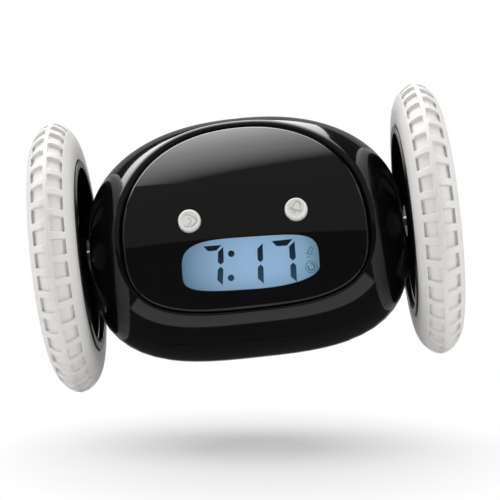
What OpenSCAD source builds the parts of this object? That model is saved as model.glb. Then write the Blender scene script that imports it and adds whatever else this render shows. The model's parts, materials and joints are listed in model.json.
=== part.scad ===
// Runaway alarm clock: a barrel-shaped housing that hangs between two large driven wheels.
// Millimetres. X runs along the axles, -Y is the face, +Z is up. The origin is on the floor, under the middle.

/* [Wheels] */
// Outside diameter of a tyre
wheel_d = 89; // [88:0.5:91]
// Distance between the middle planes of the two tyres
track = 118.4; // [118:0.2:120]
// Width of a tyre over its sidewalls
tyre_w = 14.2; // [13.8:0.1:14.4]
// Radius of the tyre's bore, where it sits on the hub rim
tyre_bore_r = 31.5; // [31:0.1:32]
// How far the crown rises above the straight sidewall
crown_h = 8.7; // [8:0.1:9]
// Shape of the crown: 2 is an ellipse, less is more pointed
crown_n = 1.82; // [1.7:0.02:2]
// Pockets in each of the two rows of the tread
tread_n = 38; // [30:1:38]
// Length of a pocket round the tyre
pocket_len = 4.8; // [4:0.1:5]
// Depth of a pocket
pocket_depth = 1.3; // [0.8:0.1:1.5]
// Windows in the hub's web
hub_windows = 6; // [5:1:6]

/* [Body] */
// Radius of the barrel at its middle
body_r = 39.4; // [39:0.1:40]
// Half the width that the barrel's curve would reach
body_half_w = 52.5; // [52:0.1:53]
// Half the width of the housing over its flat ends
body_end_x = 51; // [50.5:0.1:51]
// Squareness of the barrel's outline at the top
top_n = 2.3; // [2.2:0.05:2.5]
// Squareness of the barrel's outline at the bottom
bottom_n = 3.1; // [3:0.05:3.3]
// Wall thickness of the mouldings
wall = 2; // [1.8:0.1:2.2]
// Angle of the lower seams, below the horizontal
seam_angle = 55; // [54:1:56]

/* [Face] */
// How far the face leans back
face_tilt = 16.4; // [16:0.1:17]
// Half width of the face panel
face_half_w = 38.3; // [37.5:0.1:39]
// Depth of the face panel below the housing's surface
face_recess = 0.7; // [0.4:0.1:1]
// Vertical radius of the domed face
dome_rv = 48.8; // [48:0.2:50]
// Horizontal radius of the domed face
dome_rh = 179; // [170:1:190]

/* [Display and buttons] */
// Half width of the display window
window_half_w = 21.2; // [20.5:0.1:21.5]
// Height of the display window above its widest line
window_up = 10; // [9.5:0.1:10.2]
// Height of the display window below its widest line
window_down = 6.1; // [5.8:0.1:6.3]
// How far the display is turned in the face
window_turn = -2.4; // [-2.6:0.2:0]
// Sideways distance of each eye button from the middle
eye_x = 16.5; // [16:0.1:17]
// Radius of an eye button at its base
eye_r = 3.55; // [3.4:0.05:3.7]
// How far an eye button stands out
eye_out = 1.9; // [1.5:0.1:2.2]

/* [Drive] */
// Module of the gear teeth
gear_m = 0.5; // [0.5]
// Radius of a wheel axle
axle_r = 1.5; // [1.5:0.1:1.6]
// Running clearance of the shafts
run_gap = 0.05; // [0.04:0.01:0.08]

/* [Power] */
// Diameter of a battery cell
cell_d = 10.5; // [10.3:0.1:10.5]
// Length of a battery cell over its terminal
cell_len = 44.5; // [44:0.1:44.5]

/* [Hidden] */
$fn = 48;

axle_z = wheel_d / 2;             // height of the axles above the floor
wheel_x = track / 2;              // middle plane of a tyre
seam_gap = 0.12;                  // half the gap at a seam, in degrees
axle_hole_r = 4.6;                // clearance hole in the housing's ends
barrel_steps = 7.25;              // degrees of one facet round the barrel
half_stations = 13;               // stations from the middle of the barrel to its end

// Places in the plane across the axles, as [y, z] from the axle
motor_at = [12, -8];
second_at = [6.25, 10.825];
first_at = [15.69, 3.41];
post_at = [[-10, 9], [-3, -13], [21.5, -9]];

// Teeth
pinion_z = 12;
first_big_z = 36;
first_small_z = 12;
second_big_z = 36;
second_small_z = 14;
drive_z = 36;

// Places along the axle, measured out from the middle
motor_x = [3, 27];
boss_x = [28.7, 38.7];
plate_x = [27, 28.4];
first_big_x = [29.2, 31.2];
first_small_x = [31.2, 35];
second_big_x = [32.2, 34.2];
second_small_x = [34.2, 38.2];
drive_x = [35.4, 38];
cover_x = [39, 40.4];
axle_x = [26.9, 61.5];

// Face frame: its origin lies behind the panel, and its third axis points out of it
face_at = [0, -24.5, 7.15];
face_mid_v = -7;                  // height of the panel's widest line in that frame
face_up = 37;                     // from there to its top
face_down = 23;                   // from there to its bottom
face_up_n = 2.1;
face_down_n = 3.1;
dome_top = 10.3 - face_recess;    // height of the dome above the frame's origin

// Display
window_at = [0.7, -9.7];          // middle of the window's widest line, as [x, z]
window_n = [4.8, 3.6, 3.9, 2.2];  // squareness of its corners, from the upper right round to the lower right
glass_size = [46, 17.6];
lens_back = 2.8;                  // depth of the lens's back below the face
glass_up = 2;                     // from the window's widest line to the middle of the glass

// Screws that join the rear shell to the front one, as [x, z]
screw_at = [[-37, 22.5], [37, 22.5], [-36, -21], [36, -21]];

// Rear fittings lie on radial axes through the barrel
rear_tilt = 15;                   // how far the speaker and the setting buttons look up
rear_button_x = 24;
door_from = 242.3;                // angle of the battery door's rear edge
door_tilt = -67;                  // direction of the battery door's screw
snooze_tilt = 52;                 // how far the snooze bar looks up
snooze_half = [20, 6];
knob_throw = 2;                   // from the middle to either end

// ---------------------------------------------------------------- helpers

// Signed power, for superellipses
function spow(t, e) = sign(t) * pow(abs(t), e);

// A superellipse with its own half height above and below, and its own squareness in each quarter
function egg(half_w, up, down, n, steps) = [
    for (i = [0:4 * steps - 1])
        let (a = 90 * i / steps, e = 2 / n[floor(i / steps)], h = sin(a) >= 0 ? up : down)
            [half_w * spow(cos(a), e), h * spow(sin(a), e)]
];

// Outline round two circles that lie on one line from the middle
function petal(r_in, at_in, r_out, at_out, steps) =
    let (lean = acos((r_in - r_out) / (at_out - at_in)))
        concat(
            [for (i = [0:steps]) let (a = -lean + 2 * lean * i / steps)
                [at_out + r_out * cos(a), r_out * sin(a)]],
            [for (i = [0:steps]) let (a = lean + (360 - 2 * lean) * i / steps)
                [at_in + r_in * cos(a), r_in * sin(a)]]
        );

// Draws its children's XY plane across the axle, so that their Z runs out along +X
module across(x) {
    translate([x, 0, 0]) rotate([90, 0, 90]) children();
}

// The same, as an extrusion between two stations
module slab(span) {
    across(span[0]) linear_extrude(span[1] - span[0]) children();
}

// Draws its children along a radial axis that looks back and up by tilt
module radial(tilt, x = 0) {
    translate([x, 0, 0]) rotate([tilt - 90, 0, 0]) children();
}

// Solid of revolution about the axle, from an outline in [radius, x]
module revolved() {
    rotate([-90, 0, 0]) across(0) rotate_extrude() children();
}

module on_axle() {
    translate([0, 0, axle_z]) children();
}

module side(left) {
    on_axle() mirror([left ? 1 : 0, 0, 0]) children();
}

// ---------------------------------------------------------------- barrel

// Squareness of the barrel at an angle round the axle, from 0 at the face to 90 at the top
function barrel_n(phi) = (top_n + bottom_n) / 2 + (top_n - bottom_n) / 2 * sin(phi);

// Radius of the barrel at a station and an angle, inset below its surface
function barrel(x, phi, inset) =
    let (n = barrel_n(phi))
        (body_r - inset) * pow(max(0, 1 - pow(abs(x) / (body_half_w - inset), n)), 1 / n);

// Stations crowd together towards the ends, where the curve is tight
function station(i, count, reach) = reach * sin(90 * i / count);

function barrel_line(phi, inset, reach, count, closed) = concat(
    closed ? [[-reach, axle_hole_r]] : [],
    [for (i = [-count:count]) let (x = station(i, count, reach)) [x, barrel(x, phi, inset)]],
    closed ? [[reach, axle_hole_r]] : []
);

function tri(a, b, c, d) = [[a, b, c], [a, c, d]];

// A wall swept round the axle. rows holds [angle, outer line, inner line], and the lines are [x, radius]
module swept_wall(rows) {
    k = len(rows[0][1]);
    m = len(rows) - 1;
    points = [for (r = rows, c = [1, 2], p = r[c]) [p[0], -p[1] * cos(r[0]), p[1] * sin(r[0])]];
    function at(j, c, i) = (j * 2 + c) * k + i;
    skins = [for (j = [0:m - 1], i = [0:k - 2]) each concat(
        tri(at(j, 0, i), at(j + 1, 0, i), at(j + 1, 0, i + 1), at(j, 0, i + 1)),
        tri(at(j, 1, i), at(j, 1, i + 1), at(j + 1, 1, i + 1), at(j + 1, 1, i)))];
    ends = [for (j = [0:m - 1]) each concat(
        tri(at(j, 0, k - 1), at(j + 1, 0, k - 1), at(j + 1, 1, k - 1), at(j, 1, k - 1)),
        tri(at(j + 1, 0, 0), at(j, 0, 0), at(j, 1, 0), at(j + 1, 1, 0)))];
    caps = [for (i = [0:k - 2]) each concat(
        tri(at(0, 0, i), at(0, 0, i + 1), at(0, 1, i + 1), at(0, 1, i)),
        tri(at(m, 0, i + 1), at(m, 0, i), at(m, 1, i), at(m, 1, i + 1)))];
    polyhedron(points, concat(skins, ends, caps));
}

// Housing wall between two angles, with its flat ends and the axle holes in them
module barrel_wall(from, to) {
    steps = ceil((to - from) / barrel_steps);
    swept_wall([for (j = [0:steps])
        let (phi = from + seam_gap + (to - from - 2 * seam_gap) * j / steps)
            [phi, barrel_line(phi, 0, body_end_x, half_stations, true),
                barrel_line(phi, wall, body_end_x - wall, half_stations, true)]]);
}

// Patch of the barrel with open ends, between two depths
module barrel_patch(from, to, reach, outer, inner, steps, count) {
    swept_wall([for (j = [0:steps])
        let (phi = from + (to - from) * j / steps)
            [phi, barrel_line(phi, outer, reach, count, false),
                barrel_line(phi, inner, reach, count, false)]]);
}

// Sector in the plane across the axle, from one angle to another
module sector(from, to, r) {
    polygon(concat([[0, 0]], [for (a = [from, (from + to) / 2, to]) r * [-cos(a), sin(a)]]));
}

// ---------------------------------------------------------------- housing

module in_face() {
    translate(face_at) rotate([90 - face_tilt, 0, 0]) children();
}

module face_outline(grow) {
    translate([0, face_mid_v])
        polygon(egg(face_half_w + grow, face_up + grow, face_down + grow,
            [face_up_n, face_up_n, face_down_n, face_down_n], 16));
}

// Solid torus whose crest is the dome of the face, inset below it
module dome(inset) {
    translate([0, 0, dome_top - dome_rh]) rotate([-90, 0, 0]) rotate([0, 0, 250])
        rotate_extrude(angle = 40) translate([dome_rh - dome_rv, 0]) circle(dome_rv - inset);
}

module in_window(up = 0) {
    translate(window_at) rotate(window_turn) translate([0, up]) children();
}

module window_outline(grow) {
    in_window() polygon(egg(window_half_w + grow, window_up + grow, window_down + grow, window_n, 10));
}

module glass_outline(grow, up, h) {
    in_window(glass_up + up) square([glass_size[0] + grow, h + grow], center = true);
}

// Extrudes an outline in [x, z] between two depths, from front to back
module front_prism(y0, y1) {
    translate([0, y1, 0]) rotate([90, 0, 0]) linear_extrude(y1 - y0) children();
}

module front_shell() on_axle() color("#101012") {
    post_r = 2.6;
    pilot_r = 0.95;
    difference() {
        union() {
            barrel_wall(-seam_angle, 90);
            for (p = screw_at)
                let (depth = sqrt(pow(barrel(p[0], atan2(p[1], 25), wall), 2) - p[1] * p[1]) + 0.8)
                    translate([p[0], 0, p[1]]) rotate([90, 0, 0]) cylinder(r = post_r, h = depth);
        }
        in_face() translate([0, 0, -8]) linear_extrude(40) face_outline(0.1);
        for (p = screw_at)
            translate([p[0], 1, p[1]]) rotate([90, 0, 0]) cylinder(r = pilot_r, h = 12);
    }
}

module face_panel() on_axle() color("#0c0c0e") {
    board_front = -25.2;
    difference() {
        union() {
            in_face() difference() {
                intersection() {
                    linear_extrude(40, center = true) face_outline(0);
                    dome(0);
                }
                dome(wall);
            }
            for (x = [-28, 28], z = [-13, 11])
                translate([x, board_front, z]) rotate([90, 0, 0]) cylinder(r = 1.8, h = z > 0 ? 4.7 : 6.3);
        }
        front_prism(-45, -28) window_outline(0);
        for (s = [-1, 1])
            in_eye(s) translate([0, 0, -3]) cylinder(r = eye_r + 0.2, h = 12);
    }
}

module rear_shell() on_axle() color("#101012") {
    post_r = 3.1;
    difference() {
        union() {
            barrel_wall(90, 180 + seam_angle);
            for (p = screw_at)
                let (depth = sqrt(pow(barrel(p[0], atan2(p[1], 25), wall), 2) - p[1] * p[1]) + 0.8)
                    translate([p[0], depth, p[1]]) rotate([90, 0, 0]) cylinder(r = post_r, h = depth - 0.1);
            radial(rear_tilt) difference() {
                translate([0, 0, 33.8]) cylinder(r = 12, h = 3);
                translate([0, 0, 33]) cylinder(r = 10.6, h = 5);
            }
            for (x = [-17, 17], y = [-4.5, 13])
                radial(rear_tilt, x) translate([0, y, 28.6]) cylinder(r = 1.7, h = y > 0 ? 6 : 8);
            for (x = [-8, 8])
                radial(snooze_tilt, x) translate([0, -8.6, 28.6]) cylinder(r = 1.6, h = 7.6);
        }
        for (p = screw_at)
            translate([p[0], 0, p[1]]) {
                translate([0, 45, 0]) rotate([90, 0, 0]) cylinder(r = 1.35, h = 46);
                translate([0, 45, 0]) rotate([90, 0, 0]) cylinder(r = 2.35, h = 45 - 12);
            }
        radial(rear_tilt) grille();
        for (s = [-1, 1])
            radial(rear_tilt, s * rear_button_x) translate([0, 0, 32]) cylinder(r = 3.4, h = 8);
        radial(snooze_tilt) translate([0, 0, 28]) linear_extrude(16) snooze_outline(0.25);
        run_slot();
    }
}

// Sound holes in front of the speaker, in rings round one in the middle
module grille() {
    for (ring = [0:3], i = [0:max(0, ring * 6 - 1)])
        rotate([0, 0, ring ? 60 * i / ring : 0]) translate([3 * ring, 0, 32])
            cylinder(r = 0.9, h = 10, $fn = 24);
}

module bottom_tray() on_axle() color("#17171a") {
    difference() {
        barrel_wall(180 + seam_angle, 360 - seam_angle);
        slab([-30.15, 30.15]) difference() {
            sector(door_from - 0.3, 312, 60);
            circle(25);
        }
    }
    for (x = [-31.9, 31.9], y = [-12, 12])
        translate([x, y, -33]) cylinder(r = 1.7, h = 9);
    difference() {
        slab([-4, 4]) difference() {
            union() {
                sector(235.4, door_from - 0.8, body_r - wall + 0.6);
                sector(235.4, 251, body_r - wall - 0.1);
            }
            circle(35.5);
        }
        radial(door_tilt) translate([0, 0, 30]) cylinder(r = 0.95, h = 10);
    }
}

module battery_door() on_axle() color("#17171a") {
    difference() {
        barrel_patch(door_from, 360 - seam_angle - seam_gap, 29.95, 0, wall, 8, 8);
        radial(door_tilt) {
            translate([0, 0, 30]) cylinder(r = 1.2, h = 12);
            translate([0, 0, 38.4]) cylinder(r = 2.3, h = 3);
        }
    }
}

// Cross recess in the head of a screw whose top is at z = 0
module cross_slot(r) {
    for (a = [0, 90])
        rotate([0, 0, a]) cube([2.6 * r / 2, 0.6, 1.2], center = true);
}

module door_screw() on_axle() color("silver") radial(door_tilt) difference() {
    union() {
        translate([0, 0, 38.4]) cylinder(r = 2.1, h = 0.9);
        translate([0, 0, 34.9]) cylinder(r = 0.95, h = 3.6);
    }
    translate([0, 0, 39.3]) cross_slot(2.1);
}

module housing_screws() on_axle() color("silver") {
    for (p = screw_at)
        translate([p[0], 12, p[1]]) rotate([90, 0, 0]) difference() {
            union() {
                translate([0, 0, -1.4]) cylinder(r = 2.1, h = 1.4);
                cylinder(r = 1.25, h = 11.9);
                cylinder(r = 0.9, h = 21);
            }
            translate([0, 0, -1.4]) cross_slot(2.1);
        }
}

// ---------------------------------------------------------------- display and front buttons

// Domed lens, bonded into the window
module display_lens() on_axle() color("#a9c4d8") intersection() {
    front_prism(-45, -28) window_outline(-0.04);
    in_face() difference() {
        dome(0.4);
        dome(lens_back);
    }
}

module display_glass() on_axle() color("#9fbfd6")
    front_prism(-29.6, -28) glass_outline(0, 0, glass_size[1]);

module display_backlight() on_axle() color("#e8f2fa")
    front_prism(-28, -25.2) glass_outline(0, 1.2, 15.2);

module zebra_strip() on_axle() color("#c9869b")
    front_prism(-28, -25.2) in_window(glass_up - 7.7) square([40, 2], center = true);

module display_frame() on_axle() color("#1c1c1f")
    front_prism(-29, -25.2) difference() {
        glass_outline(2, 0, glass_size[1]);
        glass_outline(0, 0, glass_size[1]);
    }

module main_board() on_axle() color("#2d6b3a") {
    difference() {
        front_prism(-25.2, -23.6) translate([0, -0.5]) square([64, 34], center = true);
        for (x = [-28, 28], z = [-13, 11])
            translate([x, -20, z]) rotate([90, 0, 0]) cylinder(r = 1.1, h = 10);
    }
}

// Parts on the back of the main board: chip, capacitors, crystal and plugs
module board_parts() on_axle() color("#1b1b1d") {
    back = -23.6;
    translate([-4, back, 3]) rotate([-90, 0, 0]) cylinder(r1 = 6, r2 = 4, h = 1.6);
    for (x = [10, 17])
        translate([x, back, 8]) rotate([-90, 0, 0]) cylinder(r = 2.5, h = 5.5);
    translate([4, back + 1, -9]) rotate([0, 90, 0]) cylinder(r = 1, h = 6);
    for (x = [-22, -12, 12, 22])
        translate([x - 3, back, -15]) cube([6, 4, 4.5]);
}

// Frame of an eye button, on the face's surface and looking out along its travel
eye_y = -33.67;
eye_z = 7.03;
eye_tilt = 14;
module in_eye(s) {
    translate([s * eye_x, eye_y, eye_z]) rotate([90 - eye_tilt, 0, 0]) children();
}

module eye_button(s) on_axle() color("#efefef") in_eye(s) {
    rotate_extrude() polygon(concat(
        [[0, -4.05], [1.3, -4.05], [1.3, -3.5], [4.5, -3.5], [4.5, -2.7], [eye_r, -2.7], [eye_r, 0.2]],
        [for (a = [0:15:90]) [eye_r - 0.65 + 0.45 * cos(a), eye_out - 0.45 + 0.45 * sin(a)]],
        [[0, eye_out]]));
}

module time_button() eye_button(-1);
module alarm_button() eye_button(1);

// Tact switches: a square case with a hole for the plunger
module switch_case(h, hole) {
    difference() {
        translate([-3, -3, 0]) cube([6, 6, h]);
        translate([0, 0, 0.5]) cylinder(r = hole, h = h);
    }
}

module in_eye_switch(s) {
    translate([s * eye_x, -25.2, eye_z - 1.0]) rotate([90, 0, 0]) children();
}

module eye_switches() on_axle() color("#2a2a2c")
    for (s = [-1, 1]) in_eye_switch(s) switch_case(3.4, 2);

module eye_plunger(s) on_axle() color("#c8b89a")
    in_eye_switch(s) translate([0, 0, 1.4]) cylinder(r = 1.6, h = 2.8);

module time_plunger() eye_plunger(-1);
module alarm_plunger() eye_plunger(1);

// ---------------------------------------------------------------- rear controls

// Horseshoe board that goes round the speaker
module rear_board() on_axle() color("#2d6b3a") radial(rear_tilt) difference() {
    translate([-28, -7, 27.4]) cube([56, 23, 1.2]);
    translate([0, 0, 26]) cylinder(r = 11, h = 4);
}

module rear_switches() on_axle() color("#2a2a2c") {
    for (s = [-1, 1])
        radial(rear_tilt, s * rear_button_x) translate([0, 0, 28.6]) switch_case(2.6, 1.8);
    radial(snooze_tilt) translate([0, 0, 28.6]) switch_case(2.6, 1.8);
}

module rear_plunger(s) on_axle() color("#c8b89a")
    radial(rear_tilt, s * rear_button_x) translate([0, 0, 30]) cylinder(r = 1.5, h = 2.2);

module hour_plunger() rear_plunger(-1);
module minute_plunger() rear_plunger(1);

module snooze_plunger() on_axle() color("#c8b89a")
    radial(snooze_tilt) translate([0, 0, 30]) cylinder(r = 1.5, h = 2.2);

module rear_button(s) on_axle() color("#efefef")
    radial(rear_tilt, s * rear_button_x) rotate_extrude() polygon(concat(
        [[0, 32.2], [1.3, 32.2], [1.3, 32.7], [4.1, 32.7], [4.1, 33.4], [3.2, 33.4], [3.2, 37.2]],
        [for (a = [0:22.5:90]) [2.8 + 0.4 * cos(a), 37.2 + 0.4 * sin(a)]],
        [[0, 37.6]]));

module hour_button() rear_button(-1);
module minute_button() rear_button(1);

module snooze_outline(grow) {
    r = snooze_half[1] + grow;
    reach = snooze_half[0] - snooze_half[1];
    for (x = [-reach, reach]) translate([x, 0]) circle(r);
    square([2 * reach, 2 * r], center = true);
}

module snooze_button() on_axle() color("#efefef") {
    crest = 180 - snooze_tilt;
    intersection() {
        barrel_patch(crest - 12, crest + 12, 22, -1.2, wall + 0.4, 6, 6);
        radial(snooze_tilt) translate([0, 0, 28]) linear_extrude(16) snooze_outline(0);
    }
    radial(snooze_tilt) translate([0, 0, 32.2]) cylinder(r = 1.6, h = 5.5);
}

module snooze_board() on_axle() color("#2d6b3a") radial(snooze_tilt) difference() {
    translate([-12, -11, 27.4]) cube([24, 16, 1.2]);
    for (x = [-8, 8]) translate([x, -8.6, 27]) cylinder(r = 0.8, h = 2);
}

run_z = -15;
module run_slot() {
    translate([0, 40, run_z]) rotate([90, 0, 0]) linear_extrude(12) {
        square([4.4 + 2 * knob_throw, 3.6], center = true);
    }
}

module run_switch() on_axle() color("#2a2a2c")
    translate([0, 0, run_z]) difference() {
        translate([-6.5, 27.6, -2.9]) cube([13, 4.2, 5.8]);
        translate([-2.2 - knob_throw, 30.2, -1.6]) cube([4.4 + 2 * knob_throw, 3, 3.2]);
    }

module run_knob() on_axle() color("#efefef")
    translate([0, 0, run_z]) {
        translate([-2, 30.4, -1.4]) cube([4, 6.6, 2.8]);
        for (x = [-1.2, 0, 1.2])
            translate([x - 0.25, 36.9, -1.4]) cube([0.5, 0.5, 2.8]);
    }

module speaker() on_axle() color("#55585c") radial(rear_tilt) rotate_extrude()
    polygon([[0, 26.2], [6.5, 26.2], [6.5, 29.4], [8.6, 31.6], [9.3, 33.9], [10.5, 33.9], [10.5, 35],
        [8.8, 35], [8.1, 32], [6, 30.4], [0, 30.4]]);

module speaker_cone() on_axle() color("#2b2b2d") radial(rear_tilt) rotate_extrude()
    polygon([[0, 30.5], [2.2, 31.2], [2.8, 30.9], [8.15, 34.2], [8.7, 34.9], [8.6, 35.1], [8, 34.5],
        [2.7, 31.3], [2.2, 31.6], [0, 31]]);

// ---------------------------------------------------------------- power

cell_r = cell_d / 2;
cell_z = -25.5;
cell_pitch = cell_d + 0.1;
cell_y = [for (i = [-1.5:1:1.5]) i * cell_pitch];
contact_x = 25.5;

// Cells lie head to tail, so every second one is turned round
function cell_turn(i) = i % 2 == 0 ? 0 : 1;

module battery_compartment() on_axle() color("#1c1c1f") {
    half_y = 22.3;
    half_x = 27.2;
    lid_z = cell_z + cell_r + 0.1;
    translate([-29, -half_y, lid_z]) cube([58, 2 * half_y, 1.2]);
    for (s = [-1, 1]) {
        translate([s > 0 ? 26 : -half_x, -half_y, -27]) cube([1.2, 2 * half_y, lid_z + 27.1]);
        translate([-half_x, s > 0 ? half_y - 1 : -half_y, -27]) cube([2 * half_x, 1, lid_z + 27.1]);
        translate([s > 0 ? half_x - 0.1 : -33, -15, -24]) cube([5.9, 30, 1.2]);
    }
    for (y = [-1, 0, 1] * cell_pitch)
        translate([-20, y - 0.9, lid_z - 1.7]) cube([40, 1.8, 1.8]);
}

module battery_cells() on_axle() color("#3f6fb5")
    for (i = [0:3])
        translate([0, cell_y[i], cell_z]) mirror([cell_turn(i), 0, 0]) rotate([0, 90, 0])
            translate([0, 0, contact_x - cell_len]) {
                cylinder(r = cell_r, h = cell_len - 1);
                cylinder(r = 1.9, h = cell_len);
            }

module battery_contacts() on_axle() color("#c9c9c4")
    for (i = [0:3], s = [-1, 1])
        translate([s > 0 ? contact_x : -contact_x - 0.5, cell_y[i] - 4, cell_z - 1.4]) cube([0.5, 8, 5.6]);

// Conical contact spring: one wire, wound by a formula
spring_turns = 3.5;
spring_free = 2 * contact_x - cell_len;
wire_r = 0.3;
function coil_at(t) =
    let (a = 360 * spring_turns * t, r = 3.6 - 1.2 * t)
        [wire_r + (spring_free - 2 * wire_r) * t, r * cos(a), r * sin(a)];
module coil(steps, sides) {
    points = [for (i = [0:steps]) let (t = i / steps, a = 360 * spring_turns * t, c = coil_at(t))
        for (k = [0:sides - 1]) let (b = 360 * k / sides)
            c + wire_r * [cos(b), sin(b) * cos(a), sin(b) * sin(a)]];
    walls = [for (i = [0:steps - 1], k = [0:sides - 1])
        let (p = i * sides + k, q = i * sides + (k + 1) % sides)
            each [[p, q, q + sides], [p, q + sides, p + sides]]];
    caps = [[for (k = [sides - 1:-1:0]) k], [for (k = [0:sides - 1]) steps * sides + k]];
    polyhedron(points, concat(walls, caps));
}

least_gap = min([for (i = [0:28], j = [i + 5:1:28])
    norm(coil_at(i / 28) - coil_at(j / 28)) - 2 * wire_r]);
echo(str("least gap of a battery spring to itself: ", least_gap));

module battery_springs() on_axle() color("#c9c9c4")
    for (i = [0:3])
        translate([0, cell_y[i], cell_z]) mirror([cell_turn(i), 0, 0]) translate([-contact_x, 0, 0])
            coil(28, 6);

// ---------------------------------------------------------------- drive

function inv(a) = tan(a) - a * PI / 180;

// Half angle of a tooth at a radius, with a little play on each flank
function tooth_half(z, r) =
    let (rp = gear_m * z / 2, rb = rp * cos(20), play = 0.05)
        90 / z - play / rp * 180 / PI + (inv(20) - inv(acos(min(1, rb / max(r, rb))))) * 180 / PI;

function gear_points(z, turn) =
    let (rp = gear_m * z / 2, root = rp - 1.25 * gear_m, tip = rp + 0.95 * gear_m,
        radii = [root, max(root, rp * cos(20)), rp, tip])
        [for (i = [0:z - 1]) let (mid = turn + 360 * i / z) each concat(
            [for (r = radii) let (a = mid - tooth_half(z, r)) r * [cos(a), sin(a)]],
            [for (k = [3:-1:0]) let (r = radii[k], a = mid + tooth_half(z, r)) r * [cos(a), sin(a)]])];

// Turn of a gear that meshes with one at from, which has teeth z_from and stands unturned
function mesh_turn(from, to, z_from, z_to) =
    let (b = atan2(to[1] - from[1], to[0] - from[0]))
        b + 180 - 180 / z_to + b * z_from / z_to;

module gear(z, turn) {
    polygon(gear_points(z, turn));
}

module plate_outline(foot) {
    hull() {
        for (p = post_at) translate(p) circle(3.5);
        translate(first_at) circle(3.5);
        translate(second_at) circle(3.5);
        if (foot) translate(motor_at) circle(10.9);
    }
    if (foot) translate([-4, cell_z + cell_r + 1.3]) square([24, 8]);
}

module gearbox_frame(left) side(left) color("#d8d8d4") {
    difference() {
        union() {
            slab(plate_x) plate_outline(true);
            for (p = post_at) slab([plate_x[1] - 0.1, cover_x[0]]) translate(p) circle(2);
            for (p = [first_at, second_at]) slab([plate_x[1] - 0.1, cover_x[0]]) translate(p) circle(0.75);
        }
        slab([plate_x[0] - 1, plate_x[1] + 1]) circle(2.6);
        slab([plate_x[0] - 1, plate_x[1] + 1]) translate(motor_at) circle(3.05);
        for (p = post_at) slab([32, cover_x[0] + 1]) translate(p) circle(0.8);
    }
    difference() {
        union() {
            slab([26.8, plate_x[1]]) circle(2.6);
            slab([plate_x[1], 29]) circle(3.4);
        }
        slab([26, 30]) circle(axle_r + run_gap);
    }
}

module gearbox_cover(left) side(left) color("#d8d8d4") {
    difference() {
        union() {
            slab(cover_x) plate_outline(false);
            slab([38.4, 41.2]) circle(3.4);
        }
        slab([37, 43]) circle(axle_r + run_gap);
        for (p = post_at) slab([cover_x[0] - 1, cover_x[1] + 1]) translate(p) circle(0.9);
    }
}

module gearbox_screws() for (left = [true, false]) side(left) color("silver")
    for (p = post_at) difference() {
        union() {
            slab([33, cover_x[1] + 0.1]) translate(p) circle(0.8);
            slab([cover_x[1], cover_x[1] + 1.1]) translate(p) circle(1.8);
        }
        across(cover_x[1] + 1.1) translate(p) cross_slot(1.8);
    }

module motor(left) side(left) color("#b9bcbf") {
    difference() {
        union() {
            slab([motor_x[0] + 2.2, motor_x[1]]) translate(motor_at) intersection() {
                circle(10);
                square([20, 15], center = true);
            }
            slab([motor_x[0], motor_x[0] + 2.2]) translate(motor_at) intersection() {
                circle(9.4);
                square([19, 14.2], center = true);
            }
            slab([motor_x[1] - 0.1, plate_x[1]]) translate(motor_at) circle(3);
            for (s = [-1, 1])
                slab([motor_x[0] - 1.8, motor_x[0]]) translate(motor_at + [s * 6, 0]) square([2.4, 0.5], center = true);
        }
        slab([20, 30]) translate(motor_at) circle(1 + run_gap);
    }
}

module motor_pinion(left) side(left) color("#c9a54a") {
    slab([20.3, 31.6]) translate(motor_at) circle(1);
    slab(first_big_x) translate(motor_at) difference() {
        gear(pinion_z, mesh_turn(first_at, motor_at, first_big_z, pinion_z));
        circle(1);
    }
}

module compound(at, big_x, big_z, small_x, small_z, small_turn, ends) {
    difference() {
        union() {
            slab(big_x) translate(at) gear(big_z, 0);
            slab([big_x[1] - 0.05, small_x[1]]) translate(at) gear(small_z, small_turn);
            slab([ends[0], big_x[0] + 0.05]) translate(at) circle(1.8);
            slab([small_x[1] - 0.05, ends[1]]) translate(at) circle(1.8);
        }
        slab([ends[0] - 1, ends[1] + 1]) translate(at) circle(0.75 + run_gap);
    }
}

module first_gear(left) side(left) color("#f0efe8")
    compound(first_at, first_big_x, first_big_z, first_small_x, first_small_z,
        mesh_turn(second_at, first_at, second_big_z, first_small_z), boss_x);

module second_gear(left) side(left) color("#f0efe8")
    compound(second_at, second_big_x, second_big_z, second_small_x, second_small_z,
        mesh_turn([0, 0], second_at, drive_z, second_small_z), boss_x);

module drive_gear(left) side(left) color("#f0efe8") {
    difference() {
        union() {
            slab(drive_x) gear(drive_z, 0);
            slab([30, 38]) circle(2.7);
        }
        slab([29, 39]) circle(axle_r);
    }
}

module axle(left) side(left) color("silver") {
    slab(axle_x) circle(axle_r);
    slab([41.6, 42.4]) circle(3);
}

// Bearing bush in each end of the housing
module axle_bushes() for (left = [true, false]) side(left) color("#d8d8d4") difference() {
    union() {
        slab([body_end_x - wall - 1.1, body_end_x - wall]) circle(axle_hole_r + 1.2);
        slab([body_end_x - wall - 0.1, body_end_x + 0.4]) circle(axle_hole_r - 0.02);
    }
    slab([45, 53]) circle(axle_r + run_gap);
}

// ---------------------------------------------------------------- wheels

hub_in = wheel_x - tyre_w / 2 + 0.6;
hub_out = wheel_x + tyre_w / 2 - 0.6;
web_x = [57.4, 59.4];

function crown(u) = wheel_d / 2 - crown_h
    + crown_h * pow(max(0, 1 - pow(abs(u) / (tyre_w / 2), crown_n)), 1 / crown_n);

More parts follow.
